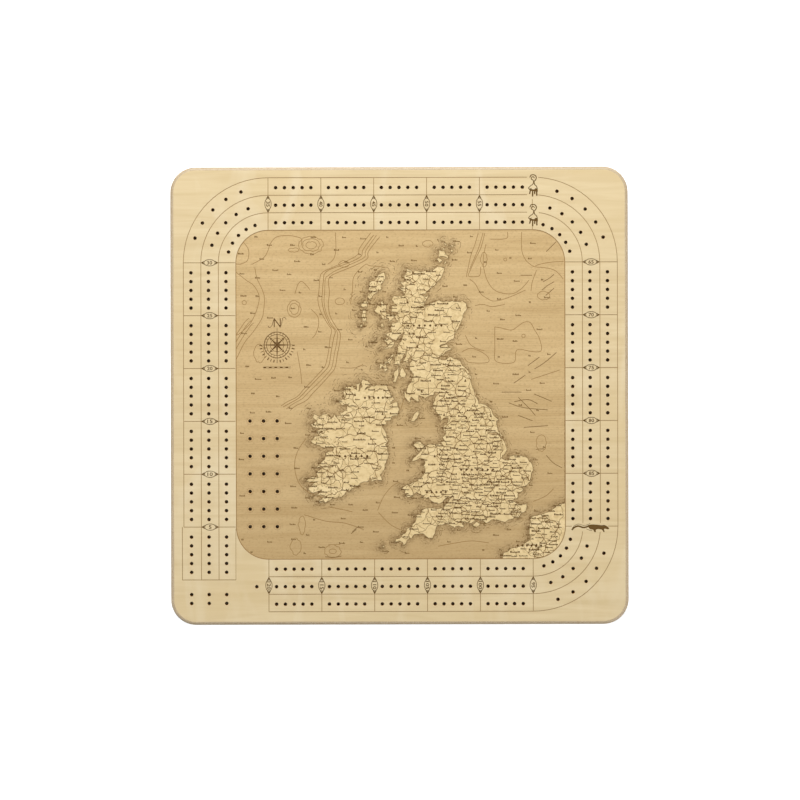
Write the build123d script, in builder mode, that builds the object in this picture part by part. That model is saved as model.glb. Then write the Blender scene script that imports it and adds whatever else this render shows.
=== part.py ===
"""Three-track cribbage board: an engraved, drilled birch panel glued on a routed
birch base that stores nine metal pegs under a magnetic lift-off cover.

Millimetres. Z is up out of the playing face, +Y is the map's north and the
origin is the centre of the footprint at the level of the table.
"""
from build123d import *
import os

os.makedirs("parts", exist_ok=True)

# ---------------------------------------------------------------- board blank
board_side = 431.8              # 17 in square
corner_radius = 24.0
top_thickness = 9.5             # engraved panel
base_thickness = 9.5            # routed panel under it, 19 mm (3/4 in) together
edge_round = 3.2                # 1/8 in roundover on both faces
foot_height = 3.0

base_z = foot_height
top_z = base_z + base_thickness
face_z = top_z + top_thickness

# ------------------------------------------------------- peg holes and tracks
hole_radius = 3.175 / 2         # 1/8 in drill
pitch = 8.3                     # hole to hole along a track
lane_gap = 16.5                 # track to track
lanes = 3
group_holes = 5
group_pitch = 6 * pitch         # five holes and one skipped
middle_lane = 179.7             # middle track's distance from the centre
bend_centre = 2.5 * group_pitch  # centre of each rounded corner of the tracks
bend_steps = [13.9, 13.1, 12.6]  # degrees from hole to hole round a corner, inner track first
bend_radii = [37.9, 54.8, 72.0]  # each track's holes round a corner

first_group_y = -3 * group_pitch            # holes 1 to 5, below the left side's five groups
start_gap = 21.0                            # from hole 1 down to the start holes
start_y = first_group_y - 2 * pitch - start_gap - pitch / 2   # middle of their two rows
finish_gap = 10.3                           # from hole 120's divider to hole 121
finish_x = -(bend_centre + finish_gap)
counter_x = -128.1                          # games-won counter, three columns of seven
counter_y = -73.4
counter_gap_x = 12.8
counter_gap_y = 2 * pitch
counter_rows = 7

# ------------------------------------------- peg compartment in the underside
store_x = 96.0
store_y = 37.0
store_radius = 4.0
cover_x = 124.0
cover_y = 52.0
cover_thickness = 3.0
cover_radius = 7.0
cover_gap = 0.3                 # all round the cover
cover_top_z = base_z + cover_thickness
notch_radius = 9.0              # finger notch on the cover's long edge
notch_depth = 5.5

magnet_radius = 3.0
magnet_thickness = 2.0
magnet_gap = 0.05               # glue space in its pocket
magnet_x = 55.0
magnet_y = 17.0
magnet_places = [(sx * magnet_x, sy * magnet_y) for sy in (1, -1) for sx in (-1, 1)]

foot_radius = 8.0
foot_top_radius = 9.0
foot_place = 184.0
foot_places = [(sx * foot_place, sy * foot_place) for sy in (1, -1) for sx in (-1, 1)]

# ----------------------------------------------------------------------- pegs
peg_length = 32.0
head_length = 17.0
head_radius = 2.5
waist_radius = 1.7
shank_radius = 1.5
tip_radius = 1.2
peg_gap_x = 6.2                 # within one player's three pegs
peg_set_gap_x = 21.0            # from one player's middle peg to the next one's
peg_clear = 0.1
peg_z = cover_top_z + head_radius + peg_clear
peg_sets = {"brass": -1, "steel": 0, "black": 1}


# ============================================================== engraved panel
# The 120 holes of each track run up the left side, across the top, down the
# right side and back along the bottom to the single finish hole.
side_groups = [n * group_pitch for n in (-2, -1, 0, 1, 2)]

with BuildPart() as top_panel:
    with BuildSketch(Plane.XY.offset(top_z)):
        RectangleRounded(board_side, board_side, corner_radius)
    extrude(amount=top_thickness)
    fillet(top_panel.faces().sort_by(Axis.Z)[-1].edges(), radius=edge_round)
    with BuildSketch(Plane.XY.offset(face_z)) as drilling:
        for x in side_groups:
            for y in (middle_lane, -middle_lane):
                with Locations((x, y)):
                    with GridLocations(pitch, lane_gap, group_holes, lanes):
                        Circle(hole_radius)
        for y in side_groups:
            for x in (middle_lane, -middle_lane):
                with Locations((x, y)):
                    with GridLocations(lane_gap, pitch, lanes, group_holes):
                        Circle(hole_radius)
        with Locations((-middle_lane, first_group_y)):
            with GridLocations(lane_gap, pitch, lanes, group_holes):
                Circle(hole_radius)
        for x, y, middle_angle in ((-1, 1, 135), (1, 1, 45), (1, -1, -45)):
            with Locations((x * bend_centre, y * bend_centre)):
                for radius, step in zip(bend_radii, bend_steps):
                    with PolarLocations(radius, group_holes, middle_angle - 2 * step,
                                        4 * step, endpoint=True):
                        Circle(hole_radius)
        with Locations((-middle_lane, start_y)):
            with GridLocations(lane_gap, pitch, lanes, 2):
                Circle(hole_radius)
        with Locations((finish_x, -middle_lane)):
            Circle(hole_radius)
        with Locations((counter_x, counter_y)):
            with GridLocations(counter_gap_x, counter_gap_y, lanes, counter_rows):
                Circle(hole_radius)
    extrude(amount=-top_thickness, mode=Mode.SUBTRACT)

top_panel.part.label = "top_panel"
export_step(top_panel.part, "parts/top_panel.step")


# ================================================================= base panel
# A window for the pegs, a rebate for the cover round it, a finger notch on the
# rebate's edge and four magnet pockets up into the rebate's ledge.
with BuildPart() as base_panel:
    with BuildSketch(Plane.XY.offset(base_z)):
        RectangleRounded(board_side, board_side, corner_radius)
    extrude(amount=base_thickness)
    fillet(base_panel.faces().sort_by(Axis.Z)[0].edges(), radius=edge_round)
    with BuildSketch(Plane.XY.offset(base_z)):
        RectangleRounded(store_x, store_y, store_radius)
    extrude(amount=base_thickness, mode=Mode.SUBTRACT)
    with BuildSketch(Plane.XY.offset(base_z)):
        RectangleRounded(cover_x + 2 * cover_gap, cover_y + 2 * cover_gap, cover_radius + cover_gap)
    extrude(amount=cover_thickness, mode=Mode.SUBTRACT)
    with BuildSketch(Plane.XY.offset(base_z)):
        with Locations((0, -cover_y / 2)):
            Circle(notch_radius)
    extrude(amount=notch_depth, mode=Mode.SUBTRACT)
    with BuildSketch(Plane.XY.offset(cover_top_z)):
        with Locations(*magnet_places):
            Circle(magnet_radius + magnet_gap)
    extrude(amount=magnet_thickness, mode=Mode.SUBTRACT)

base_panel.part.label = "base_panel"
export_step(base_panel.part, "parts/base_panel.step")


# ======================================================== cover, flush beneath
with BuildPart() as compartment_cover:
    with BuildSketch(Plane.XY.offset(base_z)):
        RectangleRounded(cover_x, cover_y, cover_radius)
    extrude(amount=cover_thickness)
    chamfer(compartment_cover.faces().sort_by(Axis.Z)[0].edges(), length=0.4)
    with BuildSketch(Plane.XY.offset(cover_top_z)):
        with Locations(*magnet_places):
            Circle(magnet_radius + magnet_gap)
    extrude(amount=-magnet_thickness, mode=Mode.SUBTRACT)

compartment_cover.part.label = "compartment_cover"
export_step(compartment_cover.part, "parts/compartment_cover.step")


# ==================================================================== magnets
# Each pair meets face to face at the ledge, which holds the cover shut.
for number, (x, y) in enumerate(magnet_places, start=1):
    for owner, low_z in (("base", cover_top_z), ("cover", cover_top_z - magnet_thickness)):
        with BuildPart() as magnet:
            with BuildSketch(Plane.XY.offset(low_z)):
                with Locations((x, y)):
                    Circle(magnet_radius)
            extrude(amount=magnet_thickness)
            chamfer(magnet.edges().filter_by(GeomType.CIRCLE), length=0.2)
        magnet.part.label = f"{owner}_magnet_{number}"
        export_step(magnet.part, f"parts/{owner}_magnet_{number}.step")


# ======================================================================= feet
for number, (x, y) in enumerate(foot_places, start=1):
    with BuildPart() as foot:
        with BuildSketch(Plane.XY.offset(base_z)):
            with Locations((x, y)):
                Circle(foot_top_radius)
        with BuildSketch(Plane.XY):
            with Locations((x, y)):
                Circle(foot_radius)
        loft()
        fillet(foot.edges().filter_by(GeomType.CIRCLE).sort_by(Axis.Z)[0], radius=0.8)
    foot.part.label = f"foot_{number}"
    export_step(foot.part, f"parts/foot_{number}.step")


# ======================================================================= pegs
# Turned pegs lie side by side along Y, tips towards -Y: a domed head with two
# grooves, a waist, and a tapered shank that wedges lightly in a hole.
head_end = peg_length / 2
waist_end = head_end - head_length
tip_end = -peg_length / 2
groove_depth = 0.45
groove_width = 1.0

for finish, side in peg_sets.items():
    for number in (1, 2, 3):
        peg_x = side * peg_set_gap_x + (number - 2) * peg_gap_x
        axis_plane = Plane(origin=(peg_x, 0, peg_z), x_dir=(0, 1, 0), z_dir=(1, 0, 0))
        with BuildPart() as peg:
            with BuildSketch(axis_plane):
                with BuildLine():
                    Polyline(
                        (head_end, 0),
                        (tip_end, 0),
                        (tip_end, tip_radius),
                        (waist_end - 2.0, shank_radius),
                        (waist_end - 1.0, waist_radius),
                        (waist_end, waist_radius),
                        (waist_end + 1.6, head_radius),
                        (head_end - 1.0, head_radius),
                        (head_end, head_radius - 1.0),
                        (head_end, 0),
                    )
                make_face()
            revolve(axis=Axis((peg_x, 0, peg_z), (0, 1, 0)))
            for groove in (4.0, 6.5):
                with BuildSketch(axis_plane):
                    with Locations((head_end - groove, head_radius)):
                        Rectangle(groove_width, 2 * groove_depth)
                revolve(axis=Axis((peg_x, 0, peg_z), (0, 1, 0)), mode=Mode.SUBTRACT)
            tip_edge = peg.edges().filter_by(GeomType.CIRCLE).sort_by(Axis.Y)[0]
            fillet(tip_edge, radius=0.6)
        peg.part.label = f"{finish}_peg_{number}"
        export_step(peg.part, f"parts/{finish}_peg_{number}.step")
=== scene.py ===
"""Looks of the cribbage board: an engraved birch playing panel with a sea chart, over the CAD's base panel.

The engraving is real relief. Every outline is laid out flat in millimetres, one triangulation covers the
whole playing face, and each region is then lowered to the depth that the engraver burns it to.
"""

import math
import random

import bpy
import numpy as np
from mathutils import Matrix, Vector, kdtree
from mathutils.geometry import delaunay_2d_cdt


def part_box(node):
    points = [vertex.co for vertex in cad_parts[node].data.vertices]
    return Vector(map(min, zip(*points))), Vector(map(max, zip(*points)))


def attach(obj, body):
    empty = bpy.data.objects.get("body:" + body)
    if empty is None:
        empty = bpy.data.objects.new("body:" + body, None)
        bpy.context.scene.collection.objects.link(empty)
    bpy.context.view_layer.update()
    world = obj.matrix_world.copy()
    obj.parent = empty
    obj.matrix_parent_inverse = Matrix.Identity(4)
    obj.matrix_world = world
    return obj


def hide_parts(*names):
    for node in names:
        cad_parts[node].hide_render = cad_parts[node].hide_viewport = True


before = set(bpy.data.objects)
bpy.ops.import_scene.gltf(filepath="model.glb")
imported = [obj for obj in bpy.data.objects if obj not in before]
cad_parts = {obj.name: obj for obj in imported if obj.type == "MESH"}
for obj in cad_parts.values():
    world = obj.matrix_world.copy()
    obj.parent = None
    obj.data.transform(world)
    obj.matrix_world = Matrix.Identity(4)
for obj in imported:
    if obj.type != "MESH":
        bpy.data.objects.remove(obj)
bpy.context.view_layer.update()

MM = 0.001
FACE_LOW, FACE_HIGH = (tuple(v / MM for v in corner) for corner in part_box("top_panel"))
HALF = FACE_HIGH[0]  # half the board's side
FACE_Z = FACE_HIGH[2]  # the playing face
GLUE_Z = FACE_LOW[2]  # where the panel is glued to the base
CORNER = 24.0
ROUND = 3.2  # the roundover along the face's edge

HOLE = 1.5875  # peg hole radius
HOLE_SIDES = 20
BEVEL = (0.12, 0.14)  # how far a hole's mouth is widened, and how deep
PITCH = 8.3  # from hole to hole
GROUP = 49.8  # from the middle of five holes to the middle of the next five
LANE_GAP = 16.5
MIDDLE = 179.7  # middle lane's distance from the board's centre
INNER = MIDDLE - 1.5 * LANE_GAP  # where the lanes begin and the chart ends
OUTER = MIDDLE + 1.5 * LANE_GAP
BEND_CENTRE = 124.5
BENDS = ((-1, 37.9, 13.9), (0, 54.8, 13.1), (1, 72.0, 12.6))  # lane, radius and degrees from hole to hole
START_ROW = -191.15  # the middle of the start holes
FINISH = (-134.8, -MIDDLE)
COUNTER = (-128.1, -73.4)  # centre of the games-won holes
COUNTER_GAPS = (12.8, 16.6)
HOLES_AT_SEA = 150.0  # only the games-won holes are nearer to the centre than this

OFF = 1.1  # the engraving sits this far right of and above the drilling
LANE_LINE = 0.58  # width
LANES_END = -174.3  # where the left side's lanes begin, above the start holes
BULGE = 1.5  # the outermost line stands this far out along the first five holes
HALF_MEDALLION = 7.7
COMPASS = (-115.2, 48.0)
DEGREE = 17.5  # a degree of longitude on the chart
GREENWICH, EQUATOR = 94.91, -1153.44  # where they lie, the equator far below the board
CLOSE_FILL = 158.0  # the relief's fill points are closer together up to here
PLY_LAYERS = 7
FOOT_HEIGHT, PANEL_THICKNESS = 0.003, 0.0095  # metres
LASER_PASS = 0.0022  # metres from one pass of the engraver to the next
dice = random.Random(20)

# Region: rank over what it crosses, depth below the face, and the piece that it belongs to
REGIONS = {
    "face": (0, 0.0, "playing_face"),
    "sea": (1, 0.3, "chart_sea"),
    "land": (2, 0.0, "chart_land"),
    "sounding_line": (3, 0.38, "depth_lines"),
    "road": (4, 0.15, "chart_roads"),
    "sounding": (5, 0.42, "sea_soundings"),
    "mark": (6, 0.4, "chart_marks"),
    "coast": (7, 0.45, "coast_line"),
    "lane": (8, 0.22, "lane_lines"),
    "number": (9, 0.26, "track_numbers"),
    "hole": (10, 0.0, "peg_hole_walls"),
}
LARGE = ("face", "sea", "land")  # cut by nearly every other outline
shapes = []

# Colours are red, green and blue from 0 to 255
FACE_LIGHT, FACE_DARK, FACE_WARM = (214, 193, 151), (203, 180, 136), (206, 182, 135)
FACE_LUSTRE = (222, 206, 172)
LAND_LIGHT, LAND_DARK, LAND_WARM = (226, 201, 151), (214, 188, 136), (216, 188, 135)
LAND_SHADE = (190, 161, 110)
SEA_LIGHT, SEA_DARK, SEA_WARM = (206, 177, 128), (191, 161, 112), (195, 164, 115)
# The scorch colour stands partly for burnt wood and partly for painted shade beside the raised coasts.
SEA_SHADE, SEA_SCORCH_AND_SHADE = (156, 126, 82), (118, 92, 55)
EDGE_LIGHT, EDGE_DARK = (218, 205, 180), (194, 176, 146)
EDGE_END, EDGE_GLUE = (168, 142, 106), (128, 102, 72)
FINISHES = {
    "lane_lines": ("lane_char", (150, 118, 74)),
    "track_numbers": ("number_char", (98, 72, 34)),
    "depth_lines": ("depth_char", (152, 120, 74)),
    "chart_roads": ("road_char", (126, 95, 52)),
    "chart_marks": ("mark_char", (96, 68, 33)),
    "sea_soundings": ("sounding_char", (122, 94, 54)),
    # The coast's dark line is partly burnt edge and partly painted shadow of the raised land.
    "coast_line": ("coast_char_and_shadow", (128, 102, 62)),
    "peg_hole_walls": ("hole_char", (132, 80, 16)),
}
# Lamps: name, place in metres, side of the square and power in watts
LAMPS = (
    ("key", (-0.1, 2.0, 1.95), 1.0, 92.0),
    ("overhead", (0.0, 0.3, 3.0), 2.0, 11.0),
    ("front_fill", (1.6, -1.7, 0.5), 1.2, 22.0),
    ("side_fill", (-2.1, -0.7, 0.5), 1.2, 7.0),
)
SKY_COLOUR, SKY_LIGHT = (0.86, 0.93, 1.0, 1), 0.14
FLOOR_SIZE, FLOOR_GLOW = 9.0, 0.8
DOME_SIZE, DOME_GLOW = 7.0, 0.9

# Plans in millimetres from the board's centre. First the edge of the shelf, west of the land
SHELF = """-27,153 -37,139.5 -39,132 -52,126 -66,120 -72.5,116 -74.6,111.6 -75,100 -76,90 -73.5,79.5
-68.4,69.2 -63.7,62 -64.7,54.7 -67,41.3 -69,30 -73.5,23.7 -81.8,14.4 -91,6 -97,-1 -105.6,-6 -112,-10"""
# The foot of the slope, at the left edge of the chart
WEST = "-154,44 -149,53 -141,65 -137,69"
# Other lines of equal depth
OPEN_LINES = """-139,124 -128,130 -124,136 -121,144 -115,150 -104,151 -97,150 -92,148 -92,142; -154,117
-144,109 -137,104 -132,94 -134,82 -140,69 -149,60 -154,57; -136,121 -134,111 -129,100 -127,92 -128,79
-130,72 -138,60 -146,50 -154,34; -60,154 -59.6,137.4 -62,128.6 -67.3,124; -11.5,121 -27,122.4 -32,123.5
-42.5,112.6 -44,100 -46,86; -83,81.6 -77,75 -76,67 -79,58 -82,54.6; -96.3,41.3 -93.2,23.7 -92,11.3; -98.3,96
-95.2,105.4 -91,107.5 -84,100; -146.4,144.7 -141.8,137.4 -142.8,128 -149,124.5 -154,124.5; -56,26.3
-42.5,26.3 -34.3,29.4; 74.6,153 71.5,142.6 67.4,131.2 64.3,116.8 63.3,111.6; 79,153 75.6,141 71.6,131
66.4,119; 80.8,153 77.2,139.5 72.6,130.2 67.4,118.8 65.3,112.6 72.6,112 76.2,113.7 76.7,121; 81.9,142.6
79.3,129.2 80.3,116.8 84,106.4 90,99.2 98.4,96.1 107.7,96 116,101.3 122.2,108.5; 86,147.3 101,147.8 102,154;
115.5,154 115.5,137.4 119,128 124.2,123 128.4,121 139.7,119.9 148,116.8 154.6,109.5; 128.4,122 134.6,124
145,125.6 155,126; 129.4,117.8 125.3,106.4 124.2,98.2; 66.4,109.5 71.5,105.4 76.7,96.1 81.9,92 89,88.9
99.4,91 109.8,95 119,99.2; 71.5,84.7 78.8,85.8 88,83.7 99.4,85.8; 62.2,56.8 66.4,48.6 72.6,44.4 80,42;
124.2,15 151,23.8; 90,64.6 96.3,63.5 105.6,61.5 111.8,65.1 117,68.7 123.2,68.7 127.3,62 131.5,54.8 134,45.5
132.5,41.3 124.2,41.3 113.9,43.4 109.8,41.3 107.7,31 91.2,32 90,44.4 90,64.6; 59.1,41.3 67.4,44.4 76.7,41.3
83.4,36.2 82.9,31 66.4,31 61.2,35; -67.3,-104.6 -55,-107 -44.6,-109.3; -20.8,-108 -15.6,-95.8 -7.4,-85.5
0,-81.4; -67.3,-140.3 -56,-140.3; 125.8,-100 137.7,-94.8 144.9,-88; -20,-110 -8,-122 6,-128 22,-131;
-90,-112 -70,-118 -52,-120 -34,-126; -88,-40 -96,-52 -99,-66 -95,-82 -84,-92 -66,-98; 36,-142 52,-139
68,-137 84,-139; 16,20 12,8 5,-2 1,-14"""
# A bank's centre, then half its width and height
BANKS = """-98.9,82 6.5,8; -98.9,82 4.2,5.4; -82.8,142 8.5,6; -82.8,142 5,3.5; -82.8,142 12,8.6; -99.4,137.4
5,2; -63.2,-146.5 8,6; -63.2,-146.5 3.4,2.2; 133.5,-45.2 5,8; 136,94 6,4; -56,89 4.4,3.2; 22,-124 9,4;
-132,40 5,9; -98,-142 5,8; 80,128 3,7; 100,128 1.4,1.4; 117,56 1.6,1.6; -146,88 2,2; -52,124 5,3; 27,143
5,3; -92,-122 3,9"""
# Short dark lines in the shallows
CHANNELS = """135.6,107 141,110 146,114; 134.6,99.2 140,103.6 146,107; 127.3,24.8 137,31 148,40.3;
107.7,11.4 118.6,19; 138.7,135.4 148,144.7; 96.3,3.1 115,3.1; 114.4,113.2 125.3,113.2; 126.8,1.3 143.4,-5.7;
103,-7 117,-11.6 139.7,-13.7; 111.8,-18.8 125.3,-24; 117,-30.2 139.7,-28.6; 138.2,-56.5 144.9,-63.8
153.2,-68.4; 128.4,-50.9 136,-50.4; -70.4,-151.7 -62,-152.2 -55,-151.1; -44.6,-127.9 -38.4,-122.7; -46,-130
-41,-126; 112,-2 122,-12 128,-19; 138,94 146,101; 121,28 132,36; 108,-6 121,-4 130,-8"""
# The centre of a row of diamonds, then their number and gap
COUNTRIES = "24,66 7,5.2; -43.5,-57 6,5.2; 73,-70 7,5; 34.5,-91 5,4.4; -22,-2 6,4.2; 122,-141.5 6,4.4"
PEAKS = "-42,1 17,46 21,4 42,-18 63,-21 86,-19 33,-57 62,14 -16,-17 8,88"
# Beside the compass's N
FLOURISHES = """-8.4,18 -7.6,16.7 -6,17 -4.6,19 -3.2,23.6 -2.6,25.4; 2.6,16.6 4.2,19.4 5,24.2 6.4,26
8.2,25.2 8.4,23.8"""
# Points of each coast, in hundredths of a degree of longitude and latitude
COASTS = {
    "britain": """-302,5864 -308,5845 -335,5827 -365,5811 -385,5801 -401,5790 -433,5787 -378,5786 -400,5769
-438,5763 -403,5766 -412,5756 -442,5749 -415,5751 -386,5759 -360,5766 -328,5772 -295,5768 -262,5769
-230,5768 -200,5770 -182,5762 -178,5748 -198,5732 -207,5714 -220,5695 -245,5672 -255,5657 -285,5647
-328,5636 -285,5643 -280,5634 -258,5628 -295,5620 -316,5609 -342,5602 -375,5606 -360,5601 -320,5598
-288,5598 -270,5606 -250,5600 -213,5592 -200,5577 -172,5563 -158,5545 -156,5528 -149,5512 -140,5500
-135,5485 -117,5469 -118,5462 -98,5461 -60,5449 -40,5429 -27,5420 -8,5412 -21,5407 -17,5388 3,5368 13,5358
-28,5373 -70,5370 -22,5364 3,5354 25,5338 35,5317 12,5297 5,5288 25,5281 42,5280 49,5294 72,5298 105,5296
132,5293 162,5275 174,5260 176,5247 166,5228 160,5210 136,5195 105,5195 128,5186 112,5178 88,5177 95,5172
94,5160 80,5153 48,5150 36,5145 58,5146 75,5144 100,5136 142,5139 140,5122 135,5112 116,5107 97,5091 75,5092
55,5084 30,5078 24,5074 -15,5082 -55,5080 -79,5072 -95,5080 -110,5079 -132,5082 -145,5091 -135,5079
-158,5071 -188,5072 -208,5070 -196,5059 -222,5062 -244,5060 -245,5051 -252,5060 -293,5072 -325,5067
-343,5061 -350,5048 -352,5039 -360,5030 -365,5021 -387,5021 -405,5030 -418,5037 -442,5035 -468,5032
-478,5022 -502,5015 -510,5002 -520,4996 -532,5008 -548,5012 -560,5004 -571,5007 -562,5018 -542,5021
-515,5037 -503,5054 -478,5060 -472,5069 -456,5080 -453,5101 -428,5099 -423,5114 -410,5121 -378,5124
-345,5120 -305,5120 -300,5132 -278,5147 -242,5173 -268,5160 -300,5153 -318,5141 -345,5139 -372,5147
-386,5160 -398,5156 -432,5157 -408,5165 -432,5170 -455,5175 -470,5166 -495,5160 -514,5168 -492,5171
-518,5173 -513,5185 -532,5189 -507,5202 -478,5207 -448,5215 -422,5226 -408,5242 -406,5255 -413,5262
-405,5272 -413,5286 -435,5290 -452,5282 -477,5279 -455,5295 -434,5308 -417,5320 -386,5333 -350,5332
-330,5335 -305,5325 -320,5339 -302,5344 -285,5334 -305,5350 -310,5357 -292,5370 -305,5380 -303,5393
-283,5403 -282,5420 -302,5414 -322,5407 -322,5422 -342,5435 -363,5452 -353,5470 -340,5488 -305,5498
-355,5498 -362,5488 -385,5486 -405,5477 -440,5487 -438,5469 -478,5483 -487,5464 -516,5486 -517,5500
-502,5492 -502,5507 -485,5525 -470,5542 -465,5554 -485,5566 -489,5586 -472,5595 -445,5592 -480,5601
-476,5616 -498,5588 -525,5592 -503,5624 -540,5590 -547,5570 -555,5542 -562,5530 -580,5531 -570,5560
-545,5583 -568,5583 -562,5608 -552,5630 -548,5642 -532,5652 -512,5680 -560,5654 -598,5666 -622,5672
-582,5678 -588,5693 -580,5705 -545,5708 -570,5725 -545,5735 -586,5740 -584,5758 -552,5756 -582,5774
-568,5785 -542,5784 -512,5787 -540,5806 -518,5810 -538,5825 -502,5826 -515,5838 -503,5850 -500,5862
-476,5857 -466,5844 -456,5857 -430,5852 -398,5857 -354,5860 -337,5868""",
    "ireland": """-737,5538 -692,5523 -730,5504 -692,5517 -665,5520 -613,5522 -603,5505 -590,5490 -570,5477
-592,5462 -554,5467 -543,5445 -555,5425 -585,5422 -590,5410 -622,5409 -612,5400 -638,5396 -622,5378
-610,5358 -606,5338 -620,5333 -608,5320 -600,5296 -615,5275 -623,5255 -648,5234 -636,5217 -693,5212
-700,5226 -712,5214 -755,5207 -760,5199 -786,5195 -818,5180 -832,5189 -828,5179 -853,5161 -892,5157
-925,5147 -982,5145 -945,5167 -1015,5160 -960,5186 -1020,5177 -1038,5188 -1025,5198 -980,5214 -1025,5211
-1047,5213 -1018,5228 -980,5224 -992,5240 -962,5256 -905,5260 -880,5268 -930,5262 -993,5256 -945,5286
-942,5303 -902,5315 -897,5326 -950,5323 -1002,5335 -1020,5345 -998,5360 -972,5360 -990,5374 -957,5385
-1022,5397 -988,5410 -1010,5420 -1000,5431 -975,5423 -935,5431 -912,5417 -892,5428 -852,5423 -862,5433
-825,5448 -815,5463 -850,5457 -878,5468 -838,5482 -845,5497 -829,5515 -795,5518 -770,5505 -775,5523
-748,5528 -762,5500 -742,5515 -748,5528""",
    "lewis": """-626,5852 -618,5833 -638,5820 -638,5805 -668,5792 -698,5773 -712,5784 -688,5793 -708,5802
-702,5823 -675,5828 -660,5840""",
    "north uist": "-708,5768 -715,5753 -740,5753 -752,5761 -725,5770",
    "south uist": "-722,5746 -722,5712 -738,5711 -745,5730 -740,5746",
    "barra": "-740,5705 -745,5694 -756,5698",
    "skye": """-630,5771 -612,5755 -612,5733 -568,5727 -602,5703 -598,5720 -632,5716 -648,5732 -677,5743
-660,5760 -638,5752 -642,5766""",
    "rum": "-630,5706 -625,5696 -642,5695 -642,5703",
    "tiree": "-672,5655 -688,5646 -662,5662 -648,5668",
    "mull": "-607,5663 -568,5647 -585,5633 -635,5629 -602,5640 -630,5658",
    "islay": "-612,5593 -605,5568 -622,5560 -630,5575 -650,5568 -644,5586 -628,5580",
    "jura": "-570,5615 -595,5584 -610,5590 -585,5611",
    "arran": "-528,5572 -510,5558 -510,5545 -536,5545 -538,5562",
    "man": "-436,5441 -445,5418 -462,5407 -480,5406 -470,5422 -450,5438",
    "anglesey": "-455,5341 -428,5341 -405,5329 -420,5320 -440,5312 -450,5322 -468,5330",
    "wight": "-130,5077 -108,5069 -130,5058 -157,5066",
    "scilly": "-627,4997 -625,4990 -638,4990",
    "orkney": "-328,5913 -298,5910 -278,5897 -278,5890 -302,5896 -332,5895",
    "hoy": "-330,5893 -310,5884 -322,5878 -342,5888",
    "ronaldsay": "-295,5886 -288,5878 -302,5874",
    "rousay": "-305,5920 -295,5914 -312,5913",
    "westray": "-300,5934 -282,5925 -295,5927",
    "sanday": "-272,5924 -245,5928 -255,5922",
    "stronsay": "-265,5915 -252,5912 -260,5907",
    "continent": """420,5160 360,5145 338,5137 292,5123 255,5109 237,5105 185,5097 160,5087 160,5072
155,5040 162,5022 137,5005 108,4993 60,4986 18,4970 10,4945 10,4900 420,4900""",
}


# ---- flat outlines, in millimetres ----


def area(kind, points):
    shapes.append((kind, points))


def at(centre, points):
    return [(centre[0] + x, centre[1] + y) for x, y in points]


def turned(points, degrees):
    c, s = math.cos(math.radians(degrees)), math.sin(math.radians(degrees))
    return [(x * c - y * s, x * s + y * c) for x, y in points]


def arc(centre, radius, start, end, count, squash=1.0):
    angles = [math.radians(start + (end - start) * i / count) for i in range(count + 1)]
    return [(centre[0] + radius * math.cos(a), centre[1] + radius * squash * math.sin(a)) for a in angles]


def ring(centre, radius, count, squash=1.0):
    """A closed circle of that many sides, or an oval."""
    return arc(centre, radius, 0, 360, count, squash)[:-1]


def rounded_square(half, radius, per_corner=14):
    points = []
    for quarter, (sx, sy) in enumerate(((1, 1), (-1, 1), (-1, -1), (1, -1))):
        middle = (sx * (half - radius), sy * (half - radius))
        points += arc(middle, radius, 90 * quarter, 90 * quarter + 90, per_corner)
    return points


def stroke(kind, points, width, closed=False):
    """A line of that width, as a strip of four-sided pieces that share mitred ends."""
    count = len(points)
    sides = []
    for i, (x, y) in enumerate(points):
        before = points[i - 1] if i or closed else points[i]
        after = points[(i + 1) % count] if i < count - 1 or closed else points[i]
        dx, dy = after[0] - before[0], after[1] - before[1]
        scale = width / 2 / (math.hypot(dx, dy) or 1)
        sides.append(((x - dy * scale, y + dx * scale), (x + dy * scale, y - dx * scale)))
    following = sides[1:] + sides[:1] if closed else sides[1:]
    for (a, b), (c, d) in zip(sides, following):
        area(kind, [b, d, c, a])


def smooth(points, closed=False, parts=5):
    """A curve through the points, by Catmull and Rom's rule."""
    count = len(points)
    result = []
    for i in range(count if closed else count - 1):
        if closed:
            p = [points[(i + k) % count] for k in (-1, 0, 1, 2)]
        else:
            p = [points[min(max(i + k, 0), count - 1)] for k in (-1, 0, 1, 2)]
        for step in range(parts):
            t = step / parts
            weights = (
                -t + 2 * t * t - t**3,
                2 - 5 * t * t + 3 * t**3,
                t + 4 * t * t - 3 * t**3,
                t**3 - t * t,
            )
            result.append(tuple(sum(w * q[axis] for w, q in zip(weights, p)) / 2 for axis in (0, 1)))
    return result if closed else result + [points[-1]]


def roughened(points, finest, swing):
    """The closed outline with small crooked steps between its points, like a surveyed coast."""
    result = []
    for a, b in zip(points, points[1:] + points[:1]):
        result += crooked(a, b, finest, swing)[:-1]
    return result


def crooked(a, b, finest, swing):
    length = math.dist(a, b)
    if length < finest:
        return [a, b]
    push = dice.uniform(-swing, swing)
    middle = ((a[0] + b[0]) / 2 - (b[1] - a[1]) * push, (a[1] + b[1]) / 2 + (b[0] - a[0]) * push)
    return crooked(a, middle, finest, swing)[:-1] + crooked(middle, b, finest, swing)


def within(spots, outline):
    """Which of the spots are inside the outline."""
    odd = np.zeros(len(spots), bool)
    x, y = spots[:, 0], spots[:, 1]
    for (ax, ay), (bx, by) in zip(outline, outline[1:] + outline[:1]):
        if ay != by:
            odd ^= ((ay > y) != (by > y)) & (x < ax + (y - ay) * (bx - ax) / (by - ay))
    return odd


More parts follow.
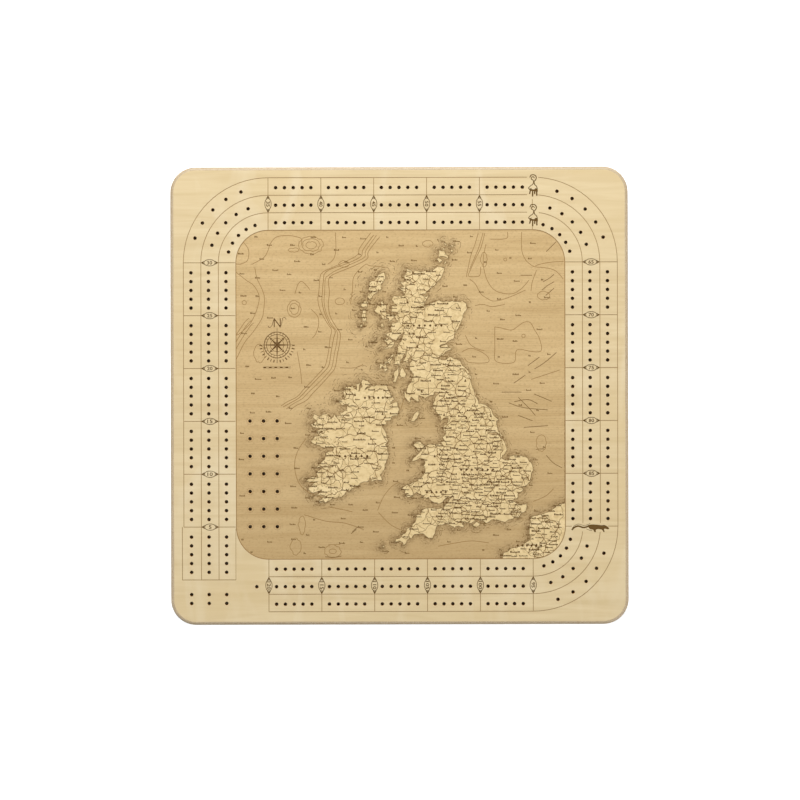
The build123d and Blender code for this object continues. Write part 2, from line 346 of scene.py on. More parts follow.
class LandMap:
    """Which spots of the chart are land, looked up on a grid of half millimetres."""

    def __init__(self, outlines):
        self.edge, self.step = 156.0, 0.5
        axis = np.arange(-self.edge, self.edge, self.step)
        self.cells = np.zeros((len(axis), len(axis)), bool)
        for outline in outlines:
            low, high = np.min(outline, 0), np.max(outline, 0)
            across, up = (np.nonzero((axis > low[i]) & (axis < high[i]))[0] for i in (0, 1))
            if len(across) and len(up):
                spots = np.stack(np.meshgrid(axis[across], axis[up], indexing="ij"), -1).reshape(-1, 2)
                found = within(spots, outline).reshape(len(across), len(up))
                self.cells[np.ix_(across, up)] |= found

    def __contains__(self, spot):
        i, j = (int(round((v + self.edge) / self.step)) for v in spot)
        count = len(self.cells)
        return 0 <= i < count and 0 <= j < count and bool(self.cells[i, j])


def points_in(text):
    """The points of a line that is written "x,y x,y"."""
    return [tuple(map(float, pair.split(","))) for pair in text.split()]


def lines_in(text):
    """Several lines, parted by semicolons."""
    return [points_in(row) for row in text.split(";")]


# ---- the peg holes ----


def hole_centres():
    centres = []
    fives = range(-2, 3)
    for lane, radius, turn in BENDS:
        across = MIDDLE + lane * LANE_GAP
        for group in fives:
            for n in fives:
                along = group * GROUP + n * PITCH
                centres += [(-across, along), (across, along), (along, across), (along, -across)]
        centres += [(-across, -3 * GROUP + n * PITCH) for n in fives]
        centres += [(-across, START_ROW + PITCH * step) for step in (-0.5, 0.5)]
        for sx, sy, middle in ((-1, 1, 135), (1, 1, 45), (1, -1, -45)):
            for n in fives:
                angle = math.radians(middle + turn * n)
                x = sx * BEND_CENTRE + radius * math.cos(angle)
                centres.append((x, sy * BEND_CENTRE + radius * math.sin(angle)))
    centres.append(FINISH)
    return centres + [counter_hole(column, row) for column in (-1, 0, 1) for row in range(-3, 4)]


def counter_hole(column, row):
    return (COUNTER[0] + COUNTER_GAPS[0] * column, COUNTER[1] + COUNTER_GAPS[1] * row)


# ---- the three lanes, their dividers and numbers ----


def text_shapes(kind, text, centre, height, width, degrees=0.0, weight=0.02):
    """Text in the built-in font as flat triangles, centred, of that height and width in mm."""
    curve = bpy.data.curves.new("digits", "FONT")
    curve.body = text
    curve.resolution_u = 2
    curve.offset = weight
    holder = bpy.data.objects.new("digits", curve)
    mesh = bpy.data.meshes.new_from_object(holder)
    spots = [(v.co.x, v.co.y) for v in mesh.vertices]
    low = [min(p[i] for p in spots) for i in (0, 1)]
    high = [max(p[i] for p in spots) for i in (0, 1)]
    tall = height / (high[1] - low[1])
    wide = width / (high[0] - low[0])
    middle = ((low[0] + high[0]) / 2, (low[1] + high[1]) / 2)
    spots = [((x - middle[0]) * wide, (y - middle[1]) * tall) for x, y in spots]
    spots = at(centre, turned(spots, degrees))
    for polygon in mesh.polygons:
        area(kind, [spots[i] for i in polygon.vertices])
    bpy.data.objects.remove(holder)
    bpy.data.meshes.remove(mesh)
    bpy.data.curves.remove(curve)


def medallion(centre, upright, text):
    """A small oval with pointed ends that carries a number on the middle lane."""
    turn = 90 if upright else 0
    oval = [(math.copysign(abs(x) ** 0.92, x) * 1.05, y) for x, y in ring((0, 0), 5.7, 28, 0.52)]
    stroke("number", at(centre, turned(oval, turn)), 0.6, closed=True)
    for side in (-1, 1):
        tip = [(side * 4.9, -1.9), (side * 8.4, 0), (side * 4.9, 1.9), (side * 5.9, 0)]
        area("number", at(centre, turned(tip, turn)))
    text_shapes("number", text, centre, 3.5, 2.55 * len(text), -turn)


def chart_border():
    return at((OFF, OFF), rounded_square(INNER, INNER - BEND_CENTRE))


def lane_lines():
    for step in (1, 2, 3):
        out = INNER + step * LANE_GAP
        path = [(-out, LANES_END), (-out, -BEND_CENTRE)]
        if step == 3:
            path = [(x - BULGE, y) for x, y in path] + path[1:]
        for sx, sy, start in ((-1, 1, 180), (1, 1, 90), (1, -1, 0)):
            middle = (sx * BEND_CENTRE, sy * BEND_CENTRE)
            path += arc(middle, out - BEND_CENTRE, start, start - 90, 18)
        path.append((-BEND_CENTRE, -out))
        for piece in broken_by_figures(path):
            stroke("lane", at((OFF, OFF), piece), LANE_LINE)
    stroke("lane", chart_border(), 0.75, closed=True)
    inside = -INNER - 0.6
    stroke("lane", at((OFF, OFF), [(-OUTER - BULGE, LANES_END), (inside, LANES_END)]), 0.6)
    stroke("lane", at((OFF, OFF), [(inside, LANES_END), (inside, -126.0)]), 0.4)


def dividers():
    """The lines after every five holes, numbered 5 to 120 round the board, but without 60 and 90."""
    for n in range(6):
        place = -BEND_CENTRE + n * GROUP
        left, top, right, bottom = ("%d" % (5 * (n + 1 + 6 * side)) for side in range(4))
        divider((-1, 0), place, left, 0.8)
        divider((0, 1), place, top if n < 5 else "")
        divider((1, 0), -place, right if n < 5 else "")
        divider((0, -1), -place, bottom)


def divider(out, along, text, short=0.0):
    """A line across the lanes, with any number on the middle one. Out is the way to the board's edge."""
    sideways = (abs(out[1]), abs(out[0]))

    def spot(distance):
        return (
            OFF + out[0] * distance + sideways[0] * along,
            OFF + out[1] * distance + sideways[1] * along,
        )

    inner = INNER + short
    if text:
        spans = ((inner, MIDDLE - HALF_MEDALLION), (MIDDLE + HALF_MEDALLION, OUTER))
    elif out[1]:
        spans = ((inner, inner + 4.5), (MIDDLE - 4.2, MIDDLE + 4.0))
    else:
        spans = ((inner, inner + 6.0), (OUTER - 9.5, OUTER))
    for start, end in spans:
        stroke("lane", [spot(start), spot(end)], LANE_LINE)
    if text:
        medallion(spot(MIDDLE), bool(out[1]), text)


def broken_by_figures(path):
    """The lane line cut where a little animal stands on it."""
    boxes = ((119.5, 130.0, 158.5, 179.0), (119.5, 130.0, 187.3, 205.5), (160.5, 199.0, -129.0, -121.5))
    pieces, run = [], []
    for (ax, ay), (bx, by) in zip(path, path[1:]):
        count = max(1, int(math.dist((ax, ay), (bx, by))))
        for i in range(count):
            x, y = ax + (bx - ax) * i / count, ay + (by - ay) * i / count
            if not any(x0 < x < x1 and y0 < y < y1 for x0, x1, y0, y1 in boxes):
                run.append((x, y))
            elif run:
                pieces.append(run)
                run = []
    pieces.append(run + [path[-1]])
    return [straightened(piece) for piece in pieces if len(piece) > 1]


def straightened(path):
    """The path without the points that lie on a straight run."""
    kept = [path[0]]
    for before, p, after in zip(path, path[1:], path[2:]):
        bend = (p[0] - before[0]) * (after[1] - p[1]) - (p[1] - before[1]) * (after[0] - p[0])
        if abs(bend) > 1e-3:
            kept.append(p)
    return kept + [path[-1]]


def standing_skunk(centre):
    """A small animal seen from the side, facing left, with its tail up in a curl."""
    for text, width in (
        ("-3,8.2 -2.2,10.2 0,10.8 2.2,10 3,8 2.2,5.8 0.8,4.2 1.6,1.6", 0.9),
        ("1.4,7.6 0.2,8.9 -1.4,8.4 -1.6,6.6 0,5.6 0.4,3.4 -0.6,1.4", 0.8),
        ("-0.6,1.4 -2.2,0.6 -4.4,-1.7 -3.4,-2.5 -1.4,-1.9", 0.7),
        ("1.2,1.6 3,0.2 3.9,-2.4 4,-5", 0.8),
    ):
        stroke("number", at(centre, smooth(points_in(text), parts=3)), width)
    belly = "-3.7,-2.9 -1.2,-2.7 0.8,-3.1 2.5,-1.7 3.9,-3 4.1,-6 3,-5.4 1.4,-4.7 -0.6,-4.6 -2.8,-4.3"
    area("number", at(centre, smooth(points_in(belly), closed=True, parts=2)))
    for hip, foot, low in ((-2.6, -3.0, -7.3), (-0.5, -0.3, -9.7), (1.5, 1.6, -7.5), (3.2, 3.7, -9.0)):
        upper = [(hip - 0.6, -3.7), (hip + 0.7, -3.7)]
        lower = [(foot + 0.45, low + 0.6), (foot + 0.3, low), (foot - 0.9, low)]
        area("number", at(centre, upper + lower))


def running_skunk(centre):
    """A long low animal drawn in solid dark strokes, with its tail streaming behind it."""
    tail = points_in("-17.5,-1.8 -15.2,0.6 -11.5,1.9 -7,0.6 -3.4,1.2 -0.6,2.6")
    stroke("number", at(centre, smooth(tail)), 1.5)
    stroke("number", at(centre, smooth([(x + 0.5, y + 1.9) for x, y in tail])), 0.4)
    body = """-1.2,3 3,3.4 8,2.9 11,2.6 13.4,2.8 16,1.4 17.8,-0.4 16.2,-1.2 13.6,-0.6 12.8,-1.6 13.4,-3.6
12.2,-3.7 10.8,-1.5 6.6,-1 5,-2 5.2,-3.7 3.8,-3.8 2.6,-1.6 -0.2,-1 -1.8,0.8"""
    area("number", at(centre, smooth(points_in(body), closed=True, parts=2)))
    stroke("number", at(centre, smooth(points_in("-4,-0.6 -1,-1.9 1.6,-2.4"))), 0.4)


# ---- the sea chart ----


def on_chart(longitude, latitude):
    """Mercator's projection, from degrees to millimetres on the board."""
    north = math.degrees(math.log(math.tan(math.radians(45 + latitude / 2))))
    return (GREENWICH + DEGREE * longitude, EQUATOR + DEGREE * north)


def depth_curves():
    """Lines of equal depth in the open sea, round banks and along the edge of the shelf."""
    shelf = points_in(SHELF)
    for shift, width in ((0, 0.6), (2.6, 0.7), (5.4, 0.56), (8.6, 0.66)):
        wandering = [
            (x + shift + dice.uniform(-0.7, 0.7), y - shift * 0.4 + dice.uniform(-0.7, 0.7)) for x, y in shelf
        ]
        stroke("sounding_line", smooth(wandering), width)
    for shift in (0, 3.5, 7.0):
        west = [(x - shift * 0.7, y + shift * 0.6) for x, y in points_in(WEST)]
        stroke("sounding_line", smooth(west), 0.6)
    for points in lines_in(OPEN_LINES):
        stroke("sounding_line", smooth(points), 0.6)
    for (x, y), (wide, high) in lines_in(BANKS):
        bank = [(x + wide * c, y + high * s) for c, s in ring((0, 0), 1, 9)]
        stroke("sounding_line", smooth(roughened(bank, 3.0, 0.16), closed=True, parts=3), 0.56, closed=True)
    for points in lines_in(CHANNELS):
        stroke("sounding", smooth(points), 0.62)


def chart_outlines():
    """Every coast, crooked in its small steps, as a list of closed outlines."""
    outlines = []
    for text in COASTS.values():
        points = [on_chart(longitude / 100, latitude / 100) for longitude, latitude in points_in(text)]
        outlines.append(roughened(points, 1.3, 0.13))
    return outlines


def spread(tries, gap, keep, wide=1.0):
    """Seeded points that keep() allows, at least gap() apart, and wide times that from side to side."""
    found = np.zeros((tries, 2))
    count = 0
    for _ in range(tries):
        p = (dice.uniform(-150, 154), dice.uniform(-154, 151))
        if keep(p):
            away = np.hypot((found[:count, 0] - p[0]) / wide, found[:count, 1] - p[1])
            if not count or away.min() >= gap(p):
                found[count] = p
                count += 1
    return [tuple(map(float, p)) for p in found[:count]]


def name_bar(kind, x, centre_y, letters, size):
    """A word too small to read: a row of little blocks from x to the right."""
    base = centre_y - size / 2
    for i in range(letters):
        wide = size * dice.uniform(0.55, 0.95)
        tall = size * (1.3 if i == 0 else dice.choice((0.75, 0.8, 0.85, 1.2)))
        area(kind, [(x, base), (x + wide, base), (x + wide, base + tall), (x, base + tall)])
        x += wide + size * 0.2


def crowded(p):
    """The closely settled lower right of the chart."""
    return p[0] > 38 and p[1] < 30


def towns_and_roads(land):
    """Towns as dots, and crooked roads from each to its neighbours."""
    towns = spread(6000, lambda p: 4.6 if crowded(p) else 5.8, lambda p: p in land)
    joined = set()
    for i, town in enumerate(towns):
        near = sorted(range(len(towns)), key=lambda k: math.dist(town, towns[k]))[1:6]
        for k in near:
            pair = frozenset((i, k))
            if pair in joined or math.dist(town, towns[k]) > 11:
                continue
            joined.add(pair)
            way = crooked(town, towns[k], 2.2, 0.2)
            if way[len(way) // 2] in land:
                stroke("road", way, dice.choice((0.3, 0.38, 0.56)))
        if i % 3 == 0:
            area("mark", ring(town, 0.4, 6))


def place_names(land):
    """Rows of little blocks where a chart names its towns."""
    for x, y in spread(16000, lambda p: 2.9 if crowded(p) else 4.4, lambda p: p in land, wide=2.8):
        letters = dice.randint(5, 9)
        size = dice.choice((0.95, 1.05, 1.2, 1.4))
        long = letters * size * 0.95
        left = x - long / 2
        if (left + long, y) in land or x < 0:
            name_bar("mark", left, y, letters, size)


def land_ornaments():
    """Rows of small diamonds where a chart names a country, and a few peaks."""
    for (x, y), (count, step) in lines_in(COUNTRIES):
        for i in range(int(count)):
            centre = (x + (i - (count - 1) / 2) * step, y)
            area("mark", at(centre, [(-1.25, 0), (0, -1.35), (1.25, 0), (0, 1.35)]))
    for peak in points_in(PEAKS):
        area("mark", at(peak, [(-1.1, -1.2), (1.1, -1.2), (0.2, 1.6)]))


def short_curve(p, direction, long, bend, steps):
    """A short curved line through p. The steps run from -1 to 1."""
    return [
        (p[0] + t * long * math.cos(direction + bend * t), p[1] + t * long * math.sin(direction + bend * t))
        for t in steps
    ]


def broken_coast(coasts, land):
    """Short strokes inland from the ragged western shores, where lochs and crags crowd the chart."""
    def ragged(p):
        return p in land and (p[0] < 30 and p[1] > 32 or p[0] < -40) and coasts.find((*p, 0))[2] < 7.0

    for p in spread(9000, lambda p: 1.9, ragged):
        shore = coasts.find((*p, 0))[0]
        inland = math.atan2(p[1] - shore[1], p[0] - shore[0]) + dice.uniform(-0.5, 0.5)
        crack = short_curve(p, inland, dice.uniform(0.7, 2.2), 0.35, (-1, 0, 1))
        stroke("road", crack, dice.uniform(0.24, 0.6))


def shore_tree(outlines):
    """The points of every coast, set up so that the nearest one is found quickly."""
    tree = kdtree.KDTree(sum(len(o) for o in outlines))
    for n, p in enumerate(q for o in outlines for q in o):
        tree.insert((*p, 0), n)
    tree.balance()
    return tree


def sea_marks(coasts, land):
    """Depth figures as little blocks, and dots and short strokes crowded along the coasts."""
    def clear(p):
        by_counter = abs(p[0] - COUNTER[0]) < 20 and abs(p[1] - COUNTER[1]) < 56
        by_compass = math.dist(p, COMPASS) < 26
        return not by_counter and not by_compass and p not in land

    for x, y in spread(3000, lambda p: 14.0, clear):
        if x < 144 and abs(y) < 150:  # clear of the chart's border
            name_bar("sounding", x - 2, y, dice.choice((2, 3, 4, 5)), 1.25)

    def by_the_shore(p):
        return clear(p) and 2.0 < coasts.find((*p, 0))[2] < (13 if p[0] < 0 and p[1] > -20 else 6.5)

    for n, p in enumerate(spread(12000, lambda p: 2.0, by_the_shore)):
        if n % 3 == 0:
            area("sounding", ring(p, dice.uniform(0.26, 0.46), 6))
            continue
        shore = coasts.find((*p, 0))[0]
        along = math.atan2(p[1] - shore[1], p[0] - shore[0]) + math.pi / 2
        ripple = short_curve(p, along, dice.uniform(0.8, 2.4), 0.3, (-1, -0.4, 0.4, 1))
        if not any(q in land for q in ripple):
            stroke("sounding", ripple, dice.uniform(0.22, 0.42))


def compass_rose():
    x, y = COMPASS

    def line(points, turn, width):
        stroke("mark", at(COMPASS, turned(points, turn)), width)

    for radius, width in ((12.2, 0.7), (9.9, 0.5), (6.3, 0.4)):
        stroke("mark", ring(COMPASS, radius, 48), width, closed=True)
    for n in range(8):
        long = (16.6, 9.4, 15.6, 9.4)[n % 4]
        half = 0.75 if n % 2 == 0 else 0.95
        for side in (-1, 1):
            ray = [(0.4, 0), (2.2, half * side), (long, 0)]
            area("mark", at(COMPASS, turned(ray, 45 * n)))
        line([(0.4, 0), (long, 0)], 45 * n, 0.42)
        if n % 2:
            head = [(9.6, 0), (7.0, 1.5), (7.7, 0), (7.0, -1.5)]
            area("mark", at(COMPASS, turned(head, 45 * n)))
    for n in range(24):
        line([(10.3, 0), (11.8, 0)], 15 * n, 0.5)
    for n in range(17):
        line([(14.2, 0), (16.8, 0)], 182 + 176 * n / 16, 1.0 if n % 2 else 0.6)
    area("mark", ring(COMPASS, 1.5, 16))
    text_shapes("mark", "N", (x + 0.2, y + 20.9), 8.4, 6.6, weight=-0.004)
    for flourish in lines_in(FLOURISHES):
        line(smooth(flourish), 0, 0.5)
    for n in range(0, 10, 2):
        area("mark", at((x - 13 + 2.6 * n, y - 21.6), [(0, 0), (2.6, 0), (2.6, 0.9), (0, 0.9)]))
    for low in (-21.7, -20.6):
        stroke("mark", [(x - 13, y + low), (x + 13, y + low)], 0.34)


def counter_marks():
    """Faint loops round the games-won holes."""
    for row in range(-3, 4):
        for column in (-1, 0, 1):
            stroke("sounding_line", ring(counter_hole(column, row), 3.1, 14), 0.2, closed=True)


# ---- the relief mesh ----


def region_of(kinds):
    """The region that shows where these kinds of outline overlap."""
    kinds = set(kinds)
    if "sea" not in kinds:
        kinds -= {"road", "sounding_line", "sounding", "mark", "coast", "land"}
    if "land" in kinds:
        kinds -= {"sounding_line", "sounding"}
    else:
        kinds -= {"road"}
    return max(kinds, key=lambda k: REGIONS[k][0]) if kinds else "face"


def fill_points():
    """Extra points that keep the triangles even: 2 mm apart on the chart and 4 mm on bare wood."""
    points = []
    step, row = 2.0, 0
    y = -HALF + ROUND + 2
    while y < HALF - ROUND - 1:
        x = -HALF + ROUND + (row % 2) * step / 2 + 1.5
        column = 0
        while x < HALF - ROUND - 1:
            close = max(abs(x), abs(y)) < CLOSE_FILL
            if close or (row % 2 == 0 and column % 2 == 0):
                past = [max(abs(v) - (HALF - CORNER), 0) for v in (x, y)]
                if math.hypot(*past) < CORNER - ROUND - 1:
                    points.append((x, y))
            x += step
            column += 1
        y += step * 0.866
        row += 1
    return points


def shape_size(outline):
    return abs(sum(a[0] * b[1] - b[0] * a[1] for a, b in zip(outline, outline[1:] + outline[:1]))) / 2


def triangulate(extra):
    """One triangulation of every outline. Gives points, triangles and each triangle's region."""
    corners, faces, edges, filled = [], [], [], []
    for shape, (kind, outline) in enumerate(shapes):
        loop = list(range(len(corners), len(corners) + len(outline)))
        corners += [Vector(p) for p in outline]
        if kind in LARGE:
            edges += list(zip(loop, loop[1:] + loop[:1]))
        else:
            faces.append(loop)
            filled.append(shape)
    corners += [Vector(p) for p in extra]
    points, _, triangles, _, _, covering = delaunay_2d_cdt(corners, edges, faces, 1, 1e-3, True)
    points = np.array([(p.x, p.y) for p in points])
    ends = points[np.array(triangles)]
    middles = ends.mean(1)
    one, two = ends[:, 1] - ends[:, 0], ends[:, 2] - ends[:, 0]
    sizes = np.abs(one[:, 0] * two[:, 1] - one[:, 1] * two[:, 0]) / 2
    members = {}
    for t, cover in enumerate(covering):
        for face in cover:
            members.setdefault(filled[face], []).append(t)
    kinds = [set() for _ in triangles]
    for shape, (kind, outline) in enumerate(shapes):
        mine = members.get(shape, [])
        # Large outlines, and one that crosses itself and leaks, are tested by the triangles' centres.
        if kind in LARGE or sizes[mine].sum() > 1.05 * shape_size(outline) + 0.01:
            low, high = np.min(outline, 0), np.max(outline, 0)
            near = np.nonzero(((middles > low) & (middles < high)).all(1))[0]
            mine = near[within(middles[near], outline)]
        for t in mine:
            kinds[t].add(kind)
    return points, [(t, region_of(k)) for t, k in zip(triangles, kinds) if k]


def new_object(name, data):
    thing = bpy.data.objects.new(name, data)
    bpy.context.collection.objects.link(thing)
    return thing


class Shell:
    """Faces of one piece, whose corners are shared where they are in the same place."""

    def __init__(self):
        self.corners = {}
        self.places = []
        self.faces = []

    def add(self, points, slot=0, rounded=False):
        """A face through points that are already rounded to a ten-thousandth of a millimetre."""
        loop = []
        for p in points:
            n = self.corners.setdefault(p, len(self.places))
            if n == len(self.places):
                self.places.append(p)
            if n not in loop:
                loop.append(n)
        if len(loop) > 2:
            self.faces.append((loop, slot, rounded))

    def face(self, points, slot=0, rounded=False):
        self.add([tuple(round(v, 4) for v in p) for p in points], slot, rounded)

    def build(self, name, materials):
        mesh = bpy.data.meshes.new(name)
        loops, slots, rounded = zip(*self.faces)
        mesh.from_pydata([tuple(v * MM for v in p) for p in self.places], [], loops)
        for material in materials:
            mesh.materials.append(material)
        mesh.polygons.foreach_set("material_index", slots)
        mesh.polygons.foreach_set("use_smooth", rounded)
        mesh.update()
        return new_object(name, mesh)


def relief(shells):
    """Lays each region at its own depth, with upright walls between depths."""
    points, triangles = triangulate(fill_points())
    points = [tuple(p) for p in np.round(points, 4).tolist()]
    depth = {kind: round(FACE_Z - REGIONS[kind][1], 4) for kind in REGIONS}
    edges, levels = {}, {}
    for t, kind in triangles:
        if kind == "hole":
            continue
        z = depth[kind]
        for i in range(3):
            a, b = t[i - 1], t[i]
            edges.setdefault((a, b) if a < b else (b, a), []).append((a, b, kind))
            levels.setdefault(b, set()).add(z)
        shells[REGIONS[kind][2]].add([(*points[i], z) for i in t])
    for sides in edges.values():
        if len(sides) < 2 or depth[sides[0][2]] == depth[sides[1][2]]:
            continue
        high, low = sorted(sides, key=lambda side: -depth[side[2]])
        a, b, _ = low
        top, bottom = depth[high[2]], depth[low[2]]
        up_a = sorted(z for z in levels[a] if bottom <= z <= top)
        down_b = sorted((z for z in levels[b] if bottom <= z <= top), reverse=True)
        wall = [(*points[a], z) for z in up_a] + [(*points[b], z) for z in down_b]
        shells[REGIONS[low[2]][2]].add(wall[::-1])


def panel_sides(face):
    """The roundover and the sides. Gives the outline at the glue."""
    steps = 8
    loops = []
    for k in range(steps + 1):
        a = math.radians(90 * k / steps)
        inset, drop = ROUND * (1 - math.sin(a)), ROUND * (1 - math.cos(a))
        loops.append([(x, y, FACE_Z - drop) for x, y in rounded_square(HALF - inset, CORNER - inset)])
    loops.append([(x, y, GLUE_Z) for x, y, _ in loops[-1]])
    for upper, lower in zip(loops, loops[1:]):
        for i in range(len(upper)):
            face.face([upper[i - 1], lower[i - 1], lower[i], upper[i]], 1, True)
    return [p[:2] for p in loops[-1]]


def panel_underside(face, rim, holes):
    """The side that is glued to the base, with the peg holes open."""
    corners, loops = [], []
    for outline in [rim] + [ring(centre, HOLE, HOLE_SIDES) for centre in holes]:
        loops.append(list(range(len(corners), len(corners) + len(outline))))
        corners += [Vector(p) for p in outline]
    points, _, triangles, _, _, covering = delaunay_2d_cdt(corners, [], loops, 1, 1e-4, True)
    for t, cover in zip(triangles, covering):
        if list(cover) == [0]:
            face.face([(points[i].x, points[i].y, GLUE_Z) for i in reversed(t)], 2)


def hole_walls(walls, holes):
    for centre in holes:
        at_sea = max(abs(centre[0]), abs(centre[1])) < HOLES_AT_SEA
        top = FACE_Z - (REGIONS["sea"][1] if at_sea else 0)
        rings = [(HOLE + BEVEL[0], top), (HOLE, top - BEVEL[1]), (HOLE, GLUE_Z)]
        circles = [[(x, y, z) for x, y in ring(centre, r, HOLE_SIDES)] for r, z in rings]
        for upper, lower in zip(circles, circles[1:]):
            for i in range(HOLE_SIDES):
                walls.face([upper[i], lower[i], lower[i - 1], upper[i - 1]], 0, True)


# ---- finishes ----


def srgb(r, g, b):
    linear = [v / 255 / 12.92 if v < 10.3 else ((v / 255 + 0.055) / 1.055) ** 2.4 for v in (r, g, b)]
    return (*linear, 1.0)


class Finish:
    """A material, and short ways to add nodes. Patterns follow the object's own coordinates, in metres."""

    def __init__(self, name, **fixed):
        self.material = bpy.data.materials.new(name)
        self.material.use_nodes = True
        self.tree = self.material.node_tree
        self.shader = self.tree.nodes["Principled BSDF"]
        self.join(self.shader, fixed)

    def join(self, node, inputs):
        for key, value in inputs.items():
            if isinstance(key, str):
                key = key.replace("_", " ").title().replace("Ior", "IOR")
            socket = node.inputs[key]
            if isinstance(value, bpy.types.NodeSocket):
                self.tree.links.new(value, socket)
            else:
                socket.default_value = value

    def node(self, kind, inputs, output=0, **settings):
        node = self.tree.nodes.new("ShaderNode" + kind)
        for name, value in settings.items():
            setattr(node, name, value)
        self.join(node, inputs)
        return node.outputs[output]

    def place(self):
        return self.node("TexCoord", {}, "Object")

    def noise(self, stretch, detail=3.0, distortion=0.0, shift=(0, 0, 0)):
        where = self.node("Mapping", {0: self.place(), 1: shift, 3: stretch})
        settings = {"vector": where, "scale": 1.0, "detail": detail, "distortion": distortion}
        return self.node("TexNoise", settings)

    def ramp(self, value, low, high, start=0.0, end=1.0):
        """Low where the value is at start, high where it is at end, and even between."""
        return self.node("MapRange", {0: value, 1: start, 2: end, 3: low, 4: high})

    def between(self, value, start, end):
        return self.ramp(value, 0.0, 1.0, start, end)

    def maths(self, operation, a, b=0.0):
        return self.node("Math", {0: a, 1: b}, operation=operation)

    def blend(self, share, a, b):
        return self.node("Mix", {0: share, 6: a, 7: b}, 2, data_type="RGBA")

    def tint(self, colour, mask, share, tone):
        """The colour turned towards the tone by mask times share."""
        return self.blend(self.maths("MULTIPLY", mask, share), colour, srgb(*tone))

    def coat(self, colour, roughness):
        self.join(self.shader, {"base_color": colour, "roughness": roughness})

    def bump(self, height, distance, strength):
        normal = self.node("Bump", {"strength": strength, "distance": distance, "height": height})
        self.join(self.shader, {"normal": normal})


def birch_colour(f, light, dark, warm, shift=(0, 0, 0)):
    """Long soft streaks along the board, finer fibres in them, and broad warm clouds."""
    streaks = f.noise((9, 130, 30), 4.0, 0.9, shift)
    fibres = f.noise((26, 900, 200), 2.0, 0.3, shift)
    clouds = f.noise((7, 14, 9), 2.0, 0.8, shift)
    base = f.blend(f.between(streaks, 0.34, 0.68), srgb(*light), srgb(*dark))
    base = f.tint(base, f.between(fibres, 0.52, 0.75), 0.35, dark)
    return f.tint(base, f.between(clouds, 0.45, 0.7), 0.5, warm), streaks, fibres


def birch_face():
    f = Finish("birch_face", specular_ior_level=0.25)
    colour, streaks, fibres = birch_colour(f, FACE_LIGHT, FACE_DARK, FACE_WARM)
    lustre = f.between(f.noise((26, 9, 9), 3.0, 1.1), 0.5, 0.7)
    f.coat(f.tint(colour, lustre, 0.4, FACE_LUSTRE), f.ramp(streaks, 0.46, 0.6))
    f.bump(fibres, 0.00006, 0.5)
    return f.material


def bare_land():
    f = Finish("bare_land", specular_ior_level=0.2)
    colour, streaks, fibres = birch_colour(f, LAND_LIGHT, LAND_DARK, LAND_WARM)
    patches = f.between(f.noise((240, 300, 240), 4.0, 0.5), 0.46, 0.64)
    f.coat(f.tint(colour, patches, 0.6, LAND_SHADE), f.ramp(streaks, 0.5, 0.62))
    f.bump(fibres, 0.00006, 0.5)
    return f.material


def etched_sea():
    """Wood burnt by passes of a laser: darker to the south, with soot, and a dark band along the coasts that
    is partly scorch and partly painted shade of the raised land.
    """
    f = Finish("etched_sea", specular_ior_level=0.12)
    colour, streaks, fibres = birch_colour(f, SEA_LIGHT, SEA_DARK, SEA_WARM)
    north = f.node("SeparateXYZ", {0: f.place()}, 1)
    passes = f.maths("SINE", f.maths("MULTIPLY", north, 2 * math.pi / LASER_PASS))
    patchy = f.between(f.noise((16, 60, 20), 2.0), 0.42, 0.62)
    lines = f.maths("MULTIPLY", f.between(passes, 0.2, 1.0), f.maths("MULTIPLY", patchy, 0.22))
    colour = f.blend(lines, colour, srgb(*SEA_SHADE))
    colour = f.blend(f.ramp(north, 0.0, 0.27, 0.03, -0.13), colour, srgb(*SEA_SHADE))
    soot = f.between(f.noise((420, 700, 420), 4.0, 0.6), 0.5, 0.72)
    colour = f.tint(colour, soot, 0.4, SEA_SHADE)
    shore = f.node("Attribute", {}, "Fac", attribute_name="shore")
    uneven = f.ramp(f.noise((300, 420, 300), 4.0, 1.4), 0.1, 1.5, 0.34, 0.66)
    # Darker near land: partly scorch, partly painted shade of the raised coasts.
    f.coat(f.tint(colour, shore, uneven, SEA_SCORCH_AND_SHADE), f.ramp(streaks, 0.6, 0.78))
    f.bump(f.maths("ADD", f.maths("MULTIPLY", passes, 0.12), fibres), 0.00009, 0.7)
    return f.material


def ply_layers(f):
    """Seven crossed layers to a panel, alternately along and across the grain, with thin glue lines."""
    height = f.maths("SUBTRACT", f.node("SeparateXYZ", {0: f.place()}, 2), FOOT_HEIGHT)
    layers = f.maths("DIVIDE", height, PANEL_THICKNESS / PLY_LAYERS)
    wobble = f.maths("MULTIPLY", f.maths("SUBTRACT", f.noise((40, 40, 40), 2.0), 0.5), 0.16)
    layers = f.maths("ADD", layers, wobble)
    crossed = f.maths("GREATER_THAN", f.maths("FRACT", f.maths("MULTIPLY", layers, 0.5)), 0.5)
    glue = f.maths("LESS_THAN", f.maths("FRACT", layers), 0.1)
    along = f.noise((90, 90, 1800), 3.0)
    pores = f.noise((1400, 1400, 1600), 2.0)
    pale = f.blend(f.between(along, 0.3, 0.7), srgb(*EDGE_LIGHT), srgb(*EDGE_DARK))
    end = f.blend(f.between(pores, 0.4, 0.62), srgb(*EDGE_DARK), srgb(*EDGE_END))
    return f.tint(f.blend(crossed, pale, end), glue, 0.6, EDGE_GLUE), pores


def ply_edge():
    f = Finish("ply_edge", roughness=0.5, specular_ior_level=0.5)
    colour, pores = ply_layers(f)
    f.join(f.shader, {"base_color": colour})
    f.bump(pores, 0.0001, 0.5)
    return f.material


